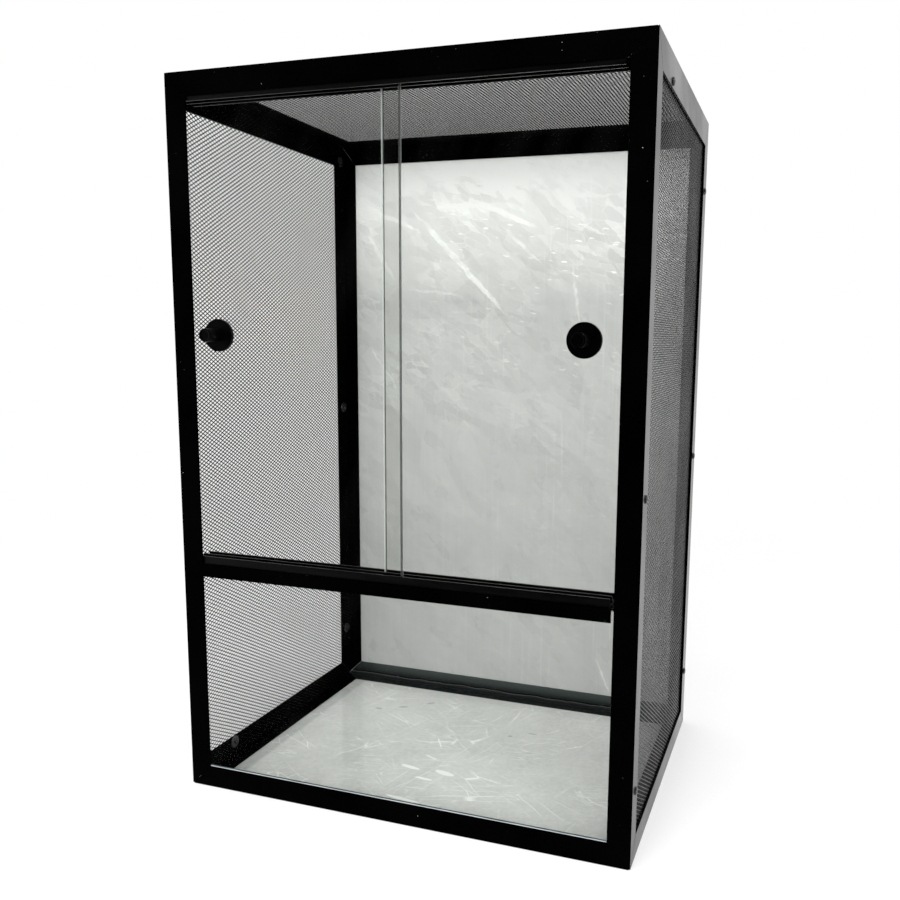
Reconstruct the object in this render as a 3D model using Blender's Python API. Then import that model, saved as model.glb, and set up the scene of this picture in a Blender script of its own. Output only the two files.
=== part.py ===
# A terrarium: a mitred frame of angle bars with mesh sides and top, a fixed lower pane
# and two glass doors that slide in a two-channel track. Metres, X across the front, Y to the back, Z up
import math

import bmesh
import bpy
from mathutils import Matrix, Vector

# The case
WIDTH = 0.400
DEPTH = 0.290  # with the back panel
HEIGHT = 0.610
FIT = 0.0003  # gap between pieces that touch

# Angle bars of the frame
BAR_WALL = 0.0015
LEG = 0.019
BACK_LEG = 0.0165  # of the legs on the back face
SIDE_TOP_LEG = 0.024  # height of the upright leg of the top rails at the sides
BACK_TOP_LEG = 0.0215
MITRE_RELIEF = 0.00022  # how far each bar stops short of a mitre

# Panels
MESH_WALL = 0.001
BACK_WALL = 0.0015
BACK_INSET = 0.001  # from the edges of the frame's back to those of the panel on it
FLOOR_WALL = 0.0015  # flush with the bottom rails' flat legs, between which it lies
LOWER_GLASS_WALL = 0.004
LOWER_GLASS_SIDE_GAP = 0.005  # from the case's side to the fixed pane
BEAD_HEIGHT = 0.0016
BEAD_FOOT = 0.0012

# Diamond gaps of the mesh: their pitch along the short and the long diagonal, and the strand between them
GAP_SHORT_PITCH = 0.044
GAP_LONG_PITCH = 0.076
STRAND = 0.007
FIELD_MARGIN = 0.003  # plain border between a leg's edge and the gaps
LEAST_GAP_WIDTH = 0.006  # narrower remains of a diamond at the border stay filled

# Cross bar under the doors
SILL_UNDERSIDE = 0.194
SILL_HEIGHT = 0.011
SILL_OVERHANG = 0.001  # how far the shelf reaches behind the track
SILL_LEFT_GAP = 0.0004  # from the left post's leg to the bar's front leg
SILL_RIGHT_GAP = 0.0020

# Two-channel tracks, which sit a little left of the middle
TRACK_WALL = 0.0018
CHANNEL = 0.0064
LOWER_TRACK_BASE = 0.0015
LOWER_CHANNEL_DEPTH = 0.005
UPPER_TRACK_BASE = 0.0015
UPPER_CHANNEL_DEPTH = 0.018
TRACK_LEFT_GAP = 0.0125  # from the case's side to a track's end
TRACK_RIGHT_GAP = 0.0225

# Glass doors
DOOR_WALL = 0.004
DOOR_WIDTH = 0.2002
LEFT_DOOR_GAP = 0.006  # from the case's side to the closed door's outer edge
RIGHT_DOOR_GAP = 0.013
DOOR_TOP_GRIP = 0.0105  # how far a door reaches up into the upper track
DOOR_CLEARANCE = 0.0016  # left between the front door and the other door's knob, with both open

# Knobs
KNOB_EDGE_GAP = 0.036  # from the door's outer edge to the knob's centre
KNOB_HEIGHT = 0.4012  # of its centre above the ground
KNOB_RADIUS = 0.0133
KNOB_BASE = 0.0035
GRIP_RADIUS = 0.0055
GRIP_LENGTH = 0.0170
KNOB_ROUNDING = 0.0012
KNOB_SEGMENTS = 24

# Blind rivets and their washers
RIVET_SHANK_RADIUS = 0.0016
RIVET_HEAD_RADIUS = 0.0033
RIVET_HEAD_HEIGHT = 0.0012
RIVET_CROWN_RADIUS = 0.0023  # of the flat middle of the head
RIVET_CROWN_DROP = 0.0003  # from that flat's middle to its edge
RIVET_TAIL_RADIUS = 0.0023
RIVET_TAIL_LENGTH = 0.0018
RIVET_SEGMENTS = 8
WASHER_RADIUS = 0.0055
WASHER_WALL = 0.001
WASHER_SEGMENTS = 12
BACK_POST_RIVETS = ("low", "middle", "high")
FRONT_POST_RIVETS = {"left": ("middle", "high"), "right": ("low", "middle")}
POST_RIVET_SETBACK = 0.011  # from the case's front or back to a post's rivets
LOW_RIVET_HEIGHT = 0.060  # above the ground
MIDDLE_RIVET_HEIGHT = {"left": 0.3215, "right": 0.287}
HIGH_RIVET_DROP = {"left": 0.019, "right": 0.065}  # from the case's top
LOW_RAIL_RIVET_SETBACK = 0.0575  # from the case's front, on the left bottom rail
HIGH_RAIL_RIVET_SETBACK = 0.064  # the same on the right top rail
RAIL_RIVET_EDGE_GAP = 0.0045  # from the edge of a rail's upright leg to its rivet
DRILL_REACH = 0.010  # how deep the drilling tool goes in from the case's side

# Places that follow from the sizes above
TRACK_FRONT = BAR_WALL + FIT  # measured from the case's front
TRACK_DEPTH = 3 * TRACK_WALL + 2 * CHANNEL
FRONT_DOOR_FACE = TRACK_FRONT + TRACK_WALL + (CHANNEL - DOOR_WALL) / 2
REAR_DOOR_FACE = FRONT_DOOR_FACE + CHANNEL + TRACK_WALL
KNOB_PROUD = KNOB_BASE + GRIP_LENGTH + FIT - FRONT_DOOR_FACE
FRONT = (KNOB_PROUD - DEPTH) / 2  # the origin lies under the middle of the whole, knobs included
BACK = FRONT + DEPTH - BACK_WALL - FIT  # of the frame
CASE_LOW = Vector((-WIDTH / 2, FRONT, 0))
CASE_HIGH = Vector((WIDTH / 2, BACK, HEIGHT))

MESH_OUTER_X = WIDTH / 2 - BAR_WALL - FIT
MESH_INNER_X = MESH_OUTER_X - MESH_WALL
WASHER_OUTER_X = MESH_INNER_X - FIT
TAIL_OUTER_X = WASHER_OUTER_X - WASHER_WALL - FIT
PANEL_X = MESH_INNER_X - FIT
PANEL_LOW_Z = BAR_WALL + FIT
TOP_MESH_HIGH_Z = HEIGHT - BAR_WALL - FIT
TOP_MESH_LOW_Z = TOP_MESH_HIGH_Z - MESH_WALL
PANEL_HIGH_Z = TOP_MESH_LOW_Z - FIT
PANEL_REAR = BACK - BAR_WALL - FIT
LOWER_GLASS_FRONT = FRONT + BAR_WALL + FIT
LOWER_GLASS_REAR = LOWER_GLASS_FRONT + LOWER_GLASS_WALL
WINDOW_X = WIDTH / 2 - LEG

SILL_TOP = SILL_UNDERSIDE + SILL_HEIGHT
SILL_SHELF_LOW = SILL_TOP - BAR_WALL
LOWER_TRACK_Z = SILL_TOP + FIT
UPPER_TRACK_Z = PANEL_HIGH_Z
UPPER_TRACK_MOUTH = UPPER_TRACK_Z - UPPER_TRACK_BASE - UPPER_CHANNEL_DEPTH
TRACK_LOW_X = TRACK_LEFT_GAP - WIDTH / 2
TRACK_HIGH_X = WIDTH / 2 - TRACK_RIGHT_GAP

DOOR_LOW_Z = LOWER_TRACK_Z + LOWER_TRACK_BASE + FIT
DOOR_HIGH_Z = UPPER_TRACK_MOUTH + DOOR_TOP_GRIP
LEFT_DOOR_OUTER_X = LEFT_DOOR_GAP - WIDTH / 2
RIGHT_DOOR_OUTER_X = WIDTH / 2 - RIGHT_DOOR_GAP
FRONT_DOOR_WAY = RIGHT_DOOR_OUTER_X - KNOB_EDGE_GAP - KNOB_RADIUS - LEFT_DOOR_OUTER_X - DOOR_WIDTH
DOOR_TRAVEL = (FRONT_DOOR_WAY - DOOR_CLEARANCE) / 2


def finish(name, colour, roughness, metallic=0.0, alpha=1.0):
    """A Principled BSDF with this colour, roughness and metallic value."""
    material = bpy.data.materials.new(name)
    material.use_nodes = True
    shader = material.node_tree.nodes["Principled BSDF"]
    shader.inputs["Base Color"].default_value = (*colour, 1)
    shader.inputs["Roughness"].default_value = roughness
    shader.inputs["Metallic"].default_value = metallic
    shader.inputs["Alpha"].default_value = alpha
    return material


def add_object(name, bm, origin, material, smooth=False):
    """Turns a bmesh in the case's coordinates into an object whose origin lies at the given point."""
    bmesh.ops.recalc_face_normals(bm, faces=bm.faces)
    bmesh.ops.translate(bm, vec=-Vector(origin), verts=bm.verts)
    mesh = bpy.data.meshes.new(name)
    bm.to_mesh(mesh)
    bm.free()
    if smooth:
        mesh.shade_smooth()
        mesh.set_sharp_from_angle(angle=math.radians(40))
    mesh.materials.append(material)
    piece = bpy.data.objects.new(name, mesh)
    piece.location = origin
    bpy.context.scene.collection.objects.link(piece)
    return piece


def box(name, low, high, material):
    """A flat panel or pane between two corners, with its origin at its middle."""
    low = Vector(low)
    high = Vector(high)
    middle = (low + high) / 2
    bm = bmesh.new()
    bmesh.ops.create_cube(bm, size=1, matrix=Matrix.LocRotScale(middle, None, high - low))
    return add_object(name, bm, middle, material)


def add_prism(bm, outline, normal, length):
    """Adds the closed outline, pushed along the normal by the length."""
    face = bm.faces.new([bm.verts.new(point) for point in outline])
    pushed = bmesh.ops.extrude_face_region(bm, geom=[face], use_keep_orig=True)
    verts = [item for item in pushed["geom"] if isinstance(item, bmesh.types.BMVert)]
    bmesh.ops.translate(bm, vec=Vector(normal) * length, verts=verts)


def add_round(bm, profile, axis, segments, at):
    """Adds a turned shape from (radius, distance along the axis) pairs, from pole to pole or closed."""
    axis = Vector(axis)
    across = axis.orthogonal().normalized()
    points = [Vector(at) + across * radius + axis * along for radius, along in profile]
    verts = [bm.verts.new(point) for point in points]
    closed = profile[0][0] > 0
    edges = [bm.edges.new(pair) for pair in zip(verts, verts[1:])]
    if closed:
        edges.append(bm.edges.new((verts[-1], verts[0])))
    bmesh.ops.spin(
        bm, geom=verts + edges, cent=at, axis=axis, angle=math.tau, steps=segments, use_merge=True
    )
    bmesh.ops.remove_doubles(bm, verts=bm.verts, dist=1e-6)


def difference(piece, cutter):
    modifier = piece.modifiers.new("cut", "BOOLEAN")
    modifier.operation = "DIFFERENCE"
    modifier.solver = "EXACT"
    modifier.object = cutter


def hide_helper(helper):
    helper.hide_render = True
    helper.display_type = "WIRE"


# The frame. Points of its bars are given as depths behind the outer faces of the case
def leg_width(face, edge, end):
    """How wide the leg is that lies on a face, given as (axis, end), along one edge of that face."""
    at_side = face[0] == 0
    at_back = face == (1, 1)
    along_top = edge == 2 and end == 1
    if at_back:
        return BACK_TOP_LEG if along_top else BACK_LEG
    return SIDE_TOP_LEG if at_side and along_top else LEG


def from_depths(depths, ends):
    """The point that lies at these depths behind the low or high faces of the case."""
    return Vector(
        CASE_HIGH[i] - depth if ends[i] else CASE_LOW[i] + depth for i, depth in enumerate(depths)
    )


def trim(bm, point, outward):
    """Cuts off what lies outside the plane and closes the cut."""
    everything = bm.verts[:] + bm.edges[:] + bm.faces[:]
    cut = bmesh.ops.bisect_plane(
        bm, geom=everything, plane_co=point, plane_no=outward, clear_outer=True
    )
    rim = [item for item in cut["geom_cut"] if isinstance(item, bmesh.types.BMEdge)]
    bmesh.ops.edgenet_fill(bm, edges=rim)


def angle_bar(name, axis, ends, material, legs="both"):
    """An angle bar along an axis, mitred at both ends on both of its faces, or only one of its legs."""
    first, second = (i for i in range(3) if i != axis)
    width = {
        first: leg_width((second, ends[second]), first, ends[first]),
        second: leg_width((first, ends[first]), second, ends[second]),
    }
    beside_first = BAR_WALL + FIT
    section = {
        "both": [
            (0, 0),
            (0, width[second]),
            (BAR_WALL, width[second]),
            (BAR_WALL, BAR_WALL),
            (width[first], BAR_WALL),
            (width[first], 0),
        ],
        "first": [(0, 0), (0, width[second]), (BAR_WALL, width[second]), (BAR_WALL, 0)],
        "second": [
            (beside_first, 0),
            (beside_first, BAR_WALL),
            (width[first], BAR_WALL),
            (width[first], 0),
        ],
    }[legs]
    outline = []
    for along_first, along_second in section:
        depths = [0.0, 0.0, 0.0]
        depths[first] = along_first
        depths[second] = along_second
        outline.append(from_depths(depths, [end if i != axis else 0 for i, end in enumerate(ends)]))
    direction = Vector((0, 0, 0))
    direction[axis] = 1
    bm = bmesh.new()
    add_prism(bm, outline, direction, CASE_HIGH[axis] - CASE_LOW[axis])

    relief = [0.0, 0.0, 0.0]
    relief[axis] = MITRE_RELIEF
    for end in (0, 1):
        corner = list(ends)
        corner[axis] = end
        for face, edge in ((first, second), (second, first)):
            outward = Vector((0, 0, 0))
            outward[axis] = -1
            outward[edge] = leg_width((face, ends[face]), axis, end) / width[edge]
            for i in range(3):
                if corner[i]:
                    outward[i] = -outward[i]
            trim(bm, from_depths(relief, corner), outward)
    middle = from_depths((0, 0, 0), ends)
    middle[axis] = (CASE_LOW[axis] + CASE_HIGH[axis]) / 2
    return add_object(name, bm, middle, material)


def build_frame(coat, drills):
    """The twelve bars. The side bars are drilled for the rivets of the side meshes.

    A back post is two nodes, its side leg and its flange, so that solid pieces made from them leave
    the inside of the case free.
    """
    for level, height in (("bottom", 0), ("top", 1)):
        angle_bar(f"{level}_front_rail", 0, (0, 0, height), coat)
        angle_bar(f"{level}_back_rail", 0, (0, 1, height), coat)
        for side, end in (("left", 0), ("right", 1)):
            difference(angle_bar(f"{level}_{side}_rail", 1, (end, 0, height), coat), drills[side])
    for side, end in (("left", 0), ("right", 1)):
        difference(angle_bar(f"front_{side}_post", 2, (end, 0, 0), coat), drills[side])
        difference(angle_bar(f"back_{side}_post", 2, (end, 1, 0), coat, "first"), drills[side])
        angle_bar(f"back_{side}_post_flange", 2, (end, 1, 0), coat, "second")


# Rivets and washers of the side meshes
def rivet_places(side):
    """Name and (Y, Z) of each rivet on one side. They were set by eye, so the sides differ."""
    heights = {
        "low": LOW_RIVET_HEIGHT,
        "middle": MIDDLE_RIVET_HEIGHT[side],
        "high": HEIGHT - HIGH_RIVET_DROP[side],
    }
    places = {}
    for row, y, labels in (
        ("front", FRONT + POST_RIVET_SETBACK, FRONT_POST_RIVETS[side]),
        ("back", BACK - POST_RIVET_SETBACK, BACK_POST_RIVETS),
    ):
        for label in labels:
            places[f"{row}_{label}"] = (y, heights[label])
    if side == "left":
        places["rail_low"] = (FRONT + LOW_RAIL_RIVET_SETBACK, LEG - RAIL_RIVET_EDGE_GAP)
    else:
        edge = HEIGHT - SIDE_TOP_LEG
        places["rail_high"] = (FRONT + HIGH_RAIL_RIVET_SETBACK, edge + RAIL_RIVET_EDGE_GAP)
    return places


def make_drill(side, sign):
    """The tool that drills one side of the case for its rivets."""
    bm = bmesh.new()
    radius = RIVET_SHANK_RADIUS + FIT
    profile = [(0, -DRILL_REACH), (radius, -DRILL_REACH), (radius, DRILL_REACH), (0, DRILL_REACH)]
    for y, z in rivet_places(side).values():
        add_round(bm, profile, (1, 0, 0), RIVET_SEGMENTS, (sign * WIDTH / 2, y, z))
    drill = add_object(f"{side}_drill", bm, (sign * WIDTH / 2, 0, 0), bpy.data.materials["coat"])
    hide_helper(drill)
    return drill


def build_fasteners(side, sign, rivet_finish, washer_finish):
    """One side's rivets, heads outside, and the washers under their inner ends."""
    under_head = WIDTH / 2 + FIT
    grip = under_head - TAIL_OUTER_X
    rivet = [
        (0, RIVET_HEAD_HEIGHT),
        (RIVET_CROWN_RADIUS, RIVET_HEAD_HEIGHT - RIVET_CROWN_DROP),
        (RIVET_HEAD_RADIUS, 0),
        (RIVET_SHANK_RADIUS, 0),
        (RIVET_SHANK_RADIUS, -grip),
        (RIVET_TAIL_RADIUS, -grip),
        (RIVET_TAIL_RADIUS, -grip - RIVET_TAIL_LENGTH),
        (0, -grip - RIVET_TAIL_LENGTH),
    ]
    bore = RIVET_SHANK_RADIUS + FIT
    washer = [(WASHER_RADIUS, 0), (WASHER_RADIUS, -WASHER_WALL), (bore, -WASHER_WALL), (bore, 0)]
    for label, (y, z) in rivet_places(side).items():
        for kind, profile, x, segments, material in (
            ("rivet", rivet, under_head, RIVET_SEGMENTS, rivet_finish),
            ("washer", washer, WASHER_OUTER_X, WASHER_SEGMENTS, washer_finish),
        ):
            place = Vector((sign * x, y, z))
            bm = bmesh.new()
            add_round(bm, profile, (sign, 0, 0), segments, place)
            add_object(f"{side}_{kind}_{label}", bm, place, material, smooth=True)


# Mesh panels: a thin sheet with staggered diamond gaps over the part that shows between the legs
def clipped(outline, low, high):
    """The part of a convex outline inside the rectangle from low to high."""
    for axis, limit, keep_below in (
        (0, low[0], False),
        (0, high[0], True),
        (1, low[1], False),
        (1, high[1], True),
    ):
        kept = []
        for here, there in zip(outline, outline[1:] + outline[:1]):
            inside = here[axis] <= limit if keep_below else here[axis] >= limit
            next_inside = there[axis] <= limit if keep_below else there[axis] >= limit
            if inside:
                kept.append(here)
            if inside != next_inside:
                share = (limit - here[axis]) / (there[axis] - here[axis])
                kept.append(tuple(a + (b - a) * share for a, b in zip(here, there)))
        outline = kept
        if not outline:
            break
    return outline


def diamond_gaps(low, high):
    """Outlines of the gaps in the rectangle from low to high, in a staggered grid about its middle."""
    half_long = GAP_LONG_PITCH / 2
    half_short = GAP_SHORT_PITCH / 2
    # A strand of this width leaves each diamond smaller by the same share both ways
    slope = math.hypot(half_long, half_short)
    share = 1 - STRAND * slope / (2 * half_long * half_short)
    middle = [(a + b) / 2 for a, b in zip(low, high)]
    steps = [math.ceil((high[i] - low[i]) / half) for i, half in ((0, half_long), (1, half_short))]
    gaps = []
    for i in range(-steps[0], steps[0] + 1):
        for j in range(-steps[1], steps[1] + 1):
            if (i + j) % 2:
                continue
            u = middle[0] + i * half_long
            v = middle[1] + j * half_short
            diamond = [
                (u + half_long * share, v),
                (u, v + half_short * share),
                (u - half_long * share, v),
                (u, v - half_short * share),
            ]
            gap = clipped(diamond, low, high)
            if not gap:
                continue
            sides = [max(p[k] for p in gap) - min(p[k] for p in gap) for k in (0, 1)]
            if min(sides) > LEAST_GAP_WIDTH:
                gaps.append(gap)
    return gaps


def mesh_panel(name, low, high, field_low, field_high, material):
    """A sheet between two corners, pierced over the field by diamonds along its thin axis."""
    thin = min(range(3), key=lambda i: high[i] - low[i])
    flat = [i for i in range(3) if i != thin]
    sheet = box(name, low, high, material)
    bm = bmesh.new()
    overshoot = high[thin] - low[thin]
    normal = Vector((0, 0, 0))
    normal[thin] = 1
    for gap in diamond_gaps([field_low[i] for i in flat], [field_high[i] for i in flat]):
        outline = []
        for u, v in gap:
            point = Vector((0, 0, 0))
            point[flat[0]] = u
            point[flat[1]] = v
            point[thin] = low[thin] - overshoot
            outline.append(point)
        add_prism(bm, outline, normal, 3 * overshoot)
    punch = add_object(f"{name}_punch", bm, sheet.location, material)
    hide_helper(punch)
    difference(sheet, punch)
    return sheet


def build_meshes(material, drills):
    """The two side meshes, riveted to the bars, and the top mesh under the top rails."""
    clear = LEG + FIELD_MARGIN
    for side, sign in (("left", -1), ("right", 1)):
        near, far = sorted((sign * MESH_INNER_X, sign * MESH_OUTER_X))
        sheet = mesh_panel(
            f"{side}_mesh",
            (near, FRONT + BAR_WALL + FIT, PANEL_LOW_Z),
            (far, PANEL_REAR, PANEL_HIGH_Z),
            (near, FRONT + clear, clear),
            (far, BACK - clear, HEIGHT - SIDE_TOP_LEG - FIELD_MARGIN),
            material,
        )
        difference(sheet, drills[side])
    track_rear = FRONT + TRACK_FRONT + TRACK_DEPTH
    mesh_panel(
        "top_mesh",
        (-MESH_OUTER_X, FRONT + BAR_WALL + FIT, TOP_MESH_LOW_Z),
        (MESH_OUTER_X, PANEL_REAR, TOP_MESH_HIGH_Z),
        (-WIDTH / 2 + clear, track_rear + FIELD_MARGIN, TOP_MESH_LOW_Z),
        (WIDTH / 2 - clear, BACK - clear, TOP_MESH_HIGH_Z),
        material,
    )


# The panel on the frame's back, the floor and the fixed lower pane
def build_panels(back_finish, floor_finish, glass, sealant):
    box(
        "back_panel",
        (BACK_INSET - WIDTH / 2, BACK + FIT, BACK_INSET),
        (WIDTH / 2 - BACK_INSET, BACK + FIT + BACK_WALL, HEIGHT - BACK_INSET),
        back_finish,
    )
    box(
        "floor_panel",
        (FIT - WINDOW_X, FRONT + LEG + FIT, 0),
        (WINDOW_X - FIT, BACK - LEG - FIT, FLOOR_WALL),
        floor_finish,
    )
    pane_x = WIDTH / 2 - LOWER_GLASS_SIDE_GAP
    box(
        "front_lower_glass",
        (-pane_x, LOWER_GLASS_FRONT, PANEL_LOW_Z),
        (pane_x, LOWER_GLASS_REAR, SILL_SHELF_LOW - FIT),
        glass,
    )
    # The sealant lies in the corner between the bottom rail's upper edge and the pane
    face = LOWER_GLASS_FRONT - FIT
    foot = LEG + FIT
    start = FIT - WINDOW_X
    outline = [(start, face, foot), (start, face, foot + BEAD_HEIGHT), (start, face - BEAD_FOOT, foot)]
    bm = bmesh.new()
    add_prism(bm, outline, (1, 0, 0), -2 * start)
    add_object("lower_glass_bead", bm, (0, face, foot), sealant)


# Cross bar and tracks
def build_sill(coat):
    """An angle whose shelf runs behind the posts' front legs, and whose front leg fits between them."""
    rear = FRONT + TRACK_FRONT + TRACK_DEPTH + SILL_OVERHANG
    behind_posts = FRONT + BAR_WALL + FIT
    left = SILL_LEFT_GAP - WINDOW_X
    right = WINDOW_X - SILL_RIGHT_GAP
    plan = [
        (left, FRONT),
        (right, FRONT),
        (right, behind_posts),
        (PANEL_X, behind_posts),
        (PANEL_X, rear),
        (-PANEL_X, rear),
        (-PANEL_X, behind_posts),
        (left, behind_posts),
    ]
    bm = bmesh.new()
    add_prism(bm, [(x, y, SILL_SHELF_LOW) for x, y in plan], (0, 0, 1), BAR_WALL)
    shelf = add_object("door_sill", bm, (0, FRONT, SILL_TOP), coat)
    bm = bmesh.new()
    leg = [
        (left, FRONT, SILL_UNDERSIDE),
        (left, FRONT + BAR_WALL, SILL_UNDERSIDE),
        (left, FRONT + BAR_WALL, SILL_TOP),
        (left, FRONT, SILL_TOP),
    ]
    add_prism(bm, leg, (1, 0, 0), right - left)
    front_leg = add_object("door_sill_leg", bm, shelf.location, coat)
    hide_helper(front_leg)
    weld = shelf.modifiers.new("leg", "BOOLEAN")
    weld.operation = "UNION"
    weld.solver = "EXACT"
    weld.object = front_leg


def track_outline(foot, base, depth, upward):
    """(Y, Z) points of a track with three walls and two channels, its foot at the given height."""
    rise = 1 if upward else -1
    start = FRONT + TRACK_FRONT
    points = [(start, foot), (start + TRACK_DEPTH, foot)]
    for wall in (2, 1, 0):
        near = start + wall * (TRACK_WALL + CHANNEL)
        far = near + TRACK_WALL
        points.append((far, foot + rise * (base + depth)))
        points.append((near, foot + rise * (base + depth)))
        if wall:
            points.append((near, foot + rise * base))
            points.append((near - CHANNEL, foot + rise * base))
    return points


def build_tracks(plastic):
    for name, foot, base, depth, upward in (
        ("lower_glass_track", LOWER_TRACK_Z, LOWER_TRACK_BASE, LOWER_CHANNEL_DEPTH, True),
        ("upper_glass_track", UPPER_TRACK_Z, UPPER_TRACK_BASE, UPPER_CHANNEL_DEPTH, False),
    ):
        bm = bmesh.new()
        outline = [(TRACK_LOW_X, y, z) for y, z in track_outline(foot, base, depth, upward)]
        add_prism(bm, outline, (1, 0, 0), TRACK_HIGH_X - TRACK_LOW_X)
        add_object(name, bm, (0, FRONT + TRACK_FRONT, foot), plastic)


# Doors and their knobs, each pair under an empty on the line along which the door slides
def knob_profile():
    grip_foot = KNOB_BASE
    tip = KNOB_BASE + GRIP_LENGTH
    return [
        (0, 0),
        (KNOB_RADIUS - KNOB_ROUNDING / 2, 0),
        (KNOB_RADIUS, KNOB_ROUNDING / 2),
        (KNOB_RADIUS, KNOB_BASE - KNOB_ROUNDING),
        (KNOB_RADIUS - KNOB_ROUNDING, KNOB_BASE),
        (GRIP_RADIUS, grip_foot),
        (GRIP_RADIUS, tip - KNOB_ROUNDING),
        (GRIP_RADIUS - KNOB_ROUNDING, tip),
        (0, tip),
    ]


def build_door(side, outer_x, inward, face, glass, plastic):
    """A pane with its knob. Its front face lies this far behind the case's front, and inward is 1 or -1."""
    face_y = FRONT + face
    low_x, high_x = sorted((outer_x, outer_x + inward * DOOR_WIDTH))
    runner = bpy.data.objects.new(f"{side}_door_runner", None)
    runner.location = ((low_x + high_x) / 2, face_y + DOOR_WALL / 2, DOOR_LOW_Z)
    bpy.context.scene.collection.objects.link(runner)
    pane = box(
        f"{side}_door_glass",
        (low_x, face_y, DOOR_LOW_Z),
        (high_x, face_y + DOOR_WALL, DOOR_HIGH_Z),
        glass,
    )
    at = Vector((outer_x + inward * KNOB_EDGE_GAP, face_y - FIT, KNOB_HEIGHT))
    bm = bmesh.new()
    add_round(bm, knob_profile(), (0, -1, 0), KNOB_SEGMENTS, at)
    knob = add_object(f"{side}_knob", bm, at, plastic, smooth=True)
    for piece in (pane, knob):
        piece.parent = runner
        piece.location -= runner.location


def main():
    for leftover in list(bpy.data.objects):
        bpy.data.objects.remove(leftover, do_unlink=True)
    coat = finish("coat", (0.012, 0.012, 0.012), 0.45)
    mesh_coat = finish("mesh_coat", (0.015, 0.015, 0.015), 0.55)
    glass = finish("glass", (0.86, 0.93, 0.90), 0.03, alpha=0.25)
    film = finish("film", (0.62, 0.63, 0.62), 0.25)
    floor = finish("floor", (0.62, 0.65, 0.62), 0.2)
    plastic = finish("plastic", (0.015, 0.015, 0.016), 0.4)
    sealant = finish("sealant", (0.62, 0.72, 0.68), 0.3)
    rivet = finish("rivet", (0.02, 0.02, 0.02), 0.4, metallic=0.5)
    zinc = finish("zinc", (0.68, 0.69, 0.70), 0.3, metallic=1.0)

    drills = {side: make_drill(side, sign) for side, sign in (("left", -1), ("right", 1))}
    build_frame(coat, drills)
    build_meshes(mesh_coat, drills)
    build_panels(film, floor, glass, sealant)
    build_sill(coat)
    build_tracks(plastic)
    build_door("left", LEFT_DOOR_OUTER_X, 1, FRONT_DOOR_FACE, glass, plastic)
    build_door("right", RIGHT_DOOR_OUTER_X, -1, REAR_DOOR_FACE, glass, plastic)
    for side, sign in (("left", -1), ("right", 1)):
        build_fasteners(side, sign, rivet, zinc)
    print(f"each door slides {DOOR_TRAVEL * 1000:.1f} mm, front of the case at Y {FRONT * 1000:.2f} mm")


main()
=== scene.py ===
# %% [markdown]
# # A tall terrarium
# This lesson dresses a packed terrarium: black angle bars, mesh at the sides and on top, glass
# doors that slide in two tracks, and a pale back sheet under creased film. Each step first says
# what the real piece is and how it can be made. Everything is in metres, with X across the
# front, Y towards the back and Z up.

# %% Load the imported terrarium
import math
import bpy
from mathutils import Matrix, Vector


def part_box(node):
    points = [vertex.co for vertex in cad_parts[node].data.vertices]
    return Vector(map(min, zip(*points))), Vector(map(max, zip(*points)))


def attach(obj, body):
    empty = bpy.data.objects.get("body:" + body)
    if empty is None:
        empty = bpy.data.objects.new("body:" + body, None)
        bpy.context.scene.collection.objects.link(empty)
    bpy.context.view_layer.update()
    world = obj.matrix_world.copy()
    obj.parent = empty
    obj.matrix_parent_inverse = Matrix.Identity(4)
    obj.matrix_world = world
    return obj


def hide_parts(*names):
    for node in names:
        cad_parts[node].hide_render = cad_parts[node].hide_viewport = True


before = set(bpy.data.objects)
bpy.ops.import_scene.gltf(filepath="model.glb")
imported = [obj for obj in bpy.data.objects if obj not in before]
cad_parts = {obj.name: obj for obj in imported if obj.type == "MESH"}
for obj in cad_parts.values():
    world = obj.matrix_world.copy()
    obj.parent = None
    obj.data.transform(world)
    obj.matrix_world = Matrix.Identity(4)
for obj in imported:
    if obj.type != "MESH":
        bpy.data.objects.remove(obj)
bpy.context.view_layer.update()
print("packed nodes:", len(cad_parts))

# %% [markdown]
# ## Tools for the hand work
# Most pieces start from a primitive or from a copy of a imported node, get their edges rounded
# and receive a finish. A few small helpers keep each later step short. Every operator acts on
# what is selected, so each helper first selects its own piece alone.

# %% Select, place and round a piece
SHARP_EDGE = math.radians(30)
SMOOTH_EDGE = math.radians(35)
FLAT_ENOUGH = math.radians(1)
SAME_POINT = 0.00001


def pick(piece):
    """Selects this piece alone and makes it the active one."""
    bpy.ops.object.select_all(action="DESELECT")
    piece.select_set(True)
    bpy.context.view_layer.objects.active = piece


def named(name):
    """Names the piece that was added last and puts its place, turn and size into its mesh."""
    piece = bpy.context.active_object
    piece.name = name
    piece.data.name = name
    pick(piece)
    bpy.ops.object.transform_apply(location=True, rotation=True, scale=True)
    return piece


def block(name, low, high):
    """A cube stretched between two corners."""
    low = Vector(low)
    high = Vector(high)
    bpy.ops.object.select_all(action="DESELECT")
    bpy.ops.mesh.primitive_cube_add(size=1, location=(low + high) / 2, scale=high - low)
    return named(name)


def open_faces(piece, test):
    """Opens the piece in edit mode with only those faces selected whose centre and normal pass."""
    pick(piece)
    bpy.ops.object.mode_set(mode="EDIT")
    bpy.ops.mesh.select_mode(type="FACE")
    bpy.ops.mesh.select_all(action="DESELECT")
    bpy.ops.object.mode_set(mode="OBJECT")
    for face in piece.data.polygons:
        face.select = test(face.center, face.normal)
    bpy.ops.object.mode_set(mode="EDIT")


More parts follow.
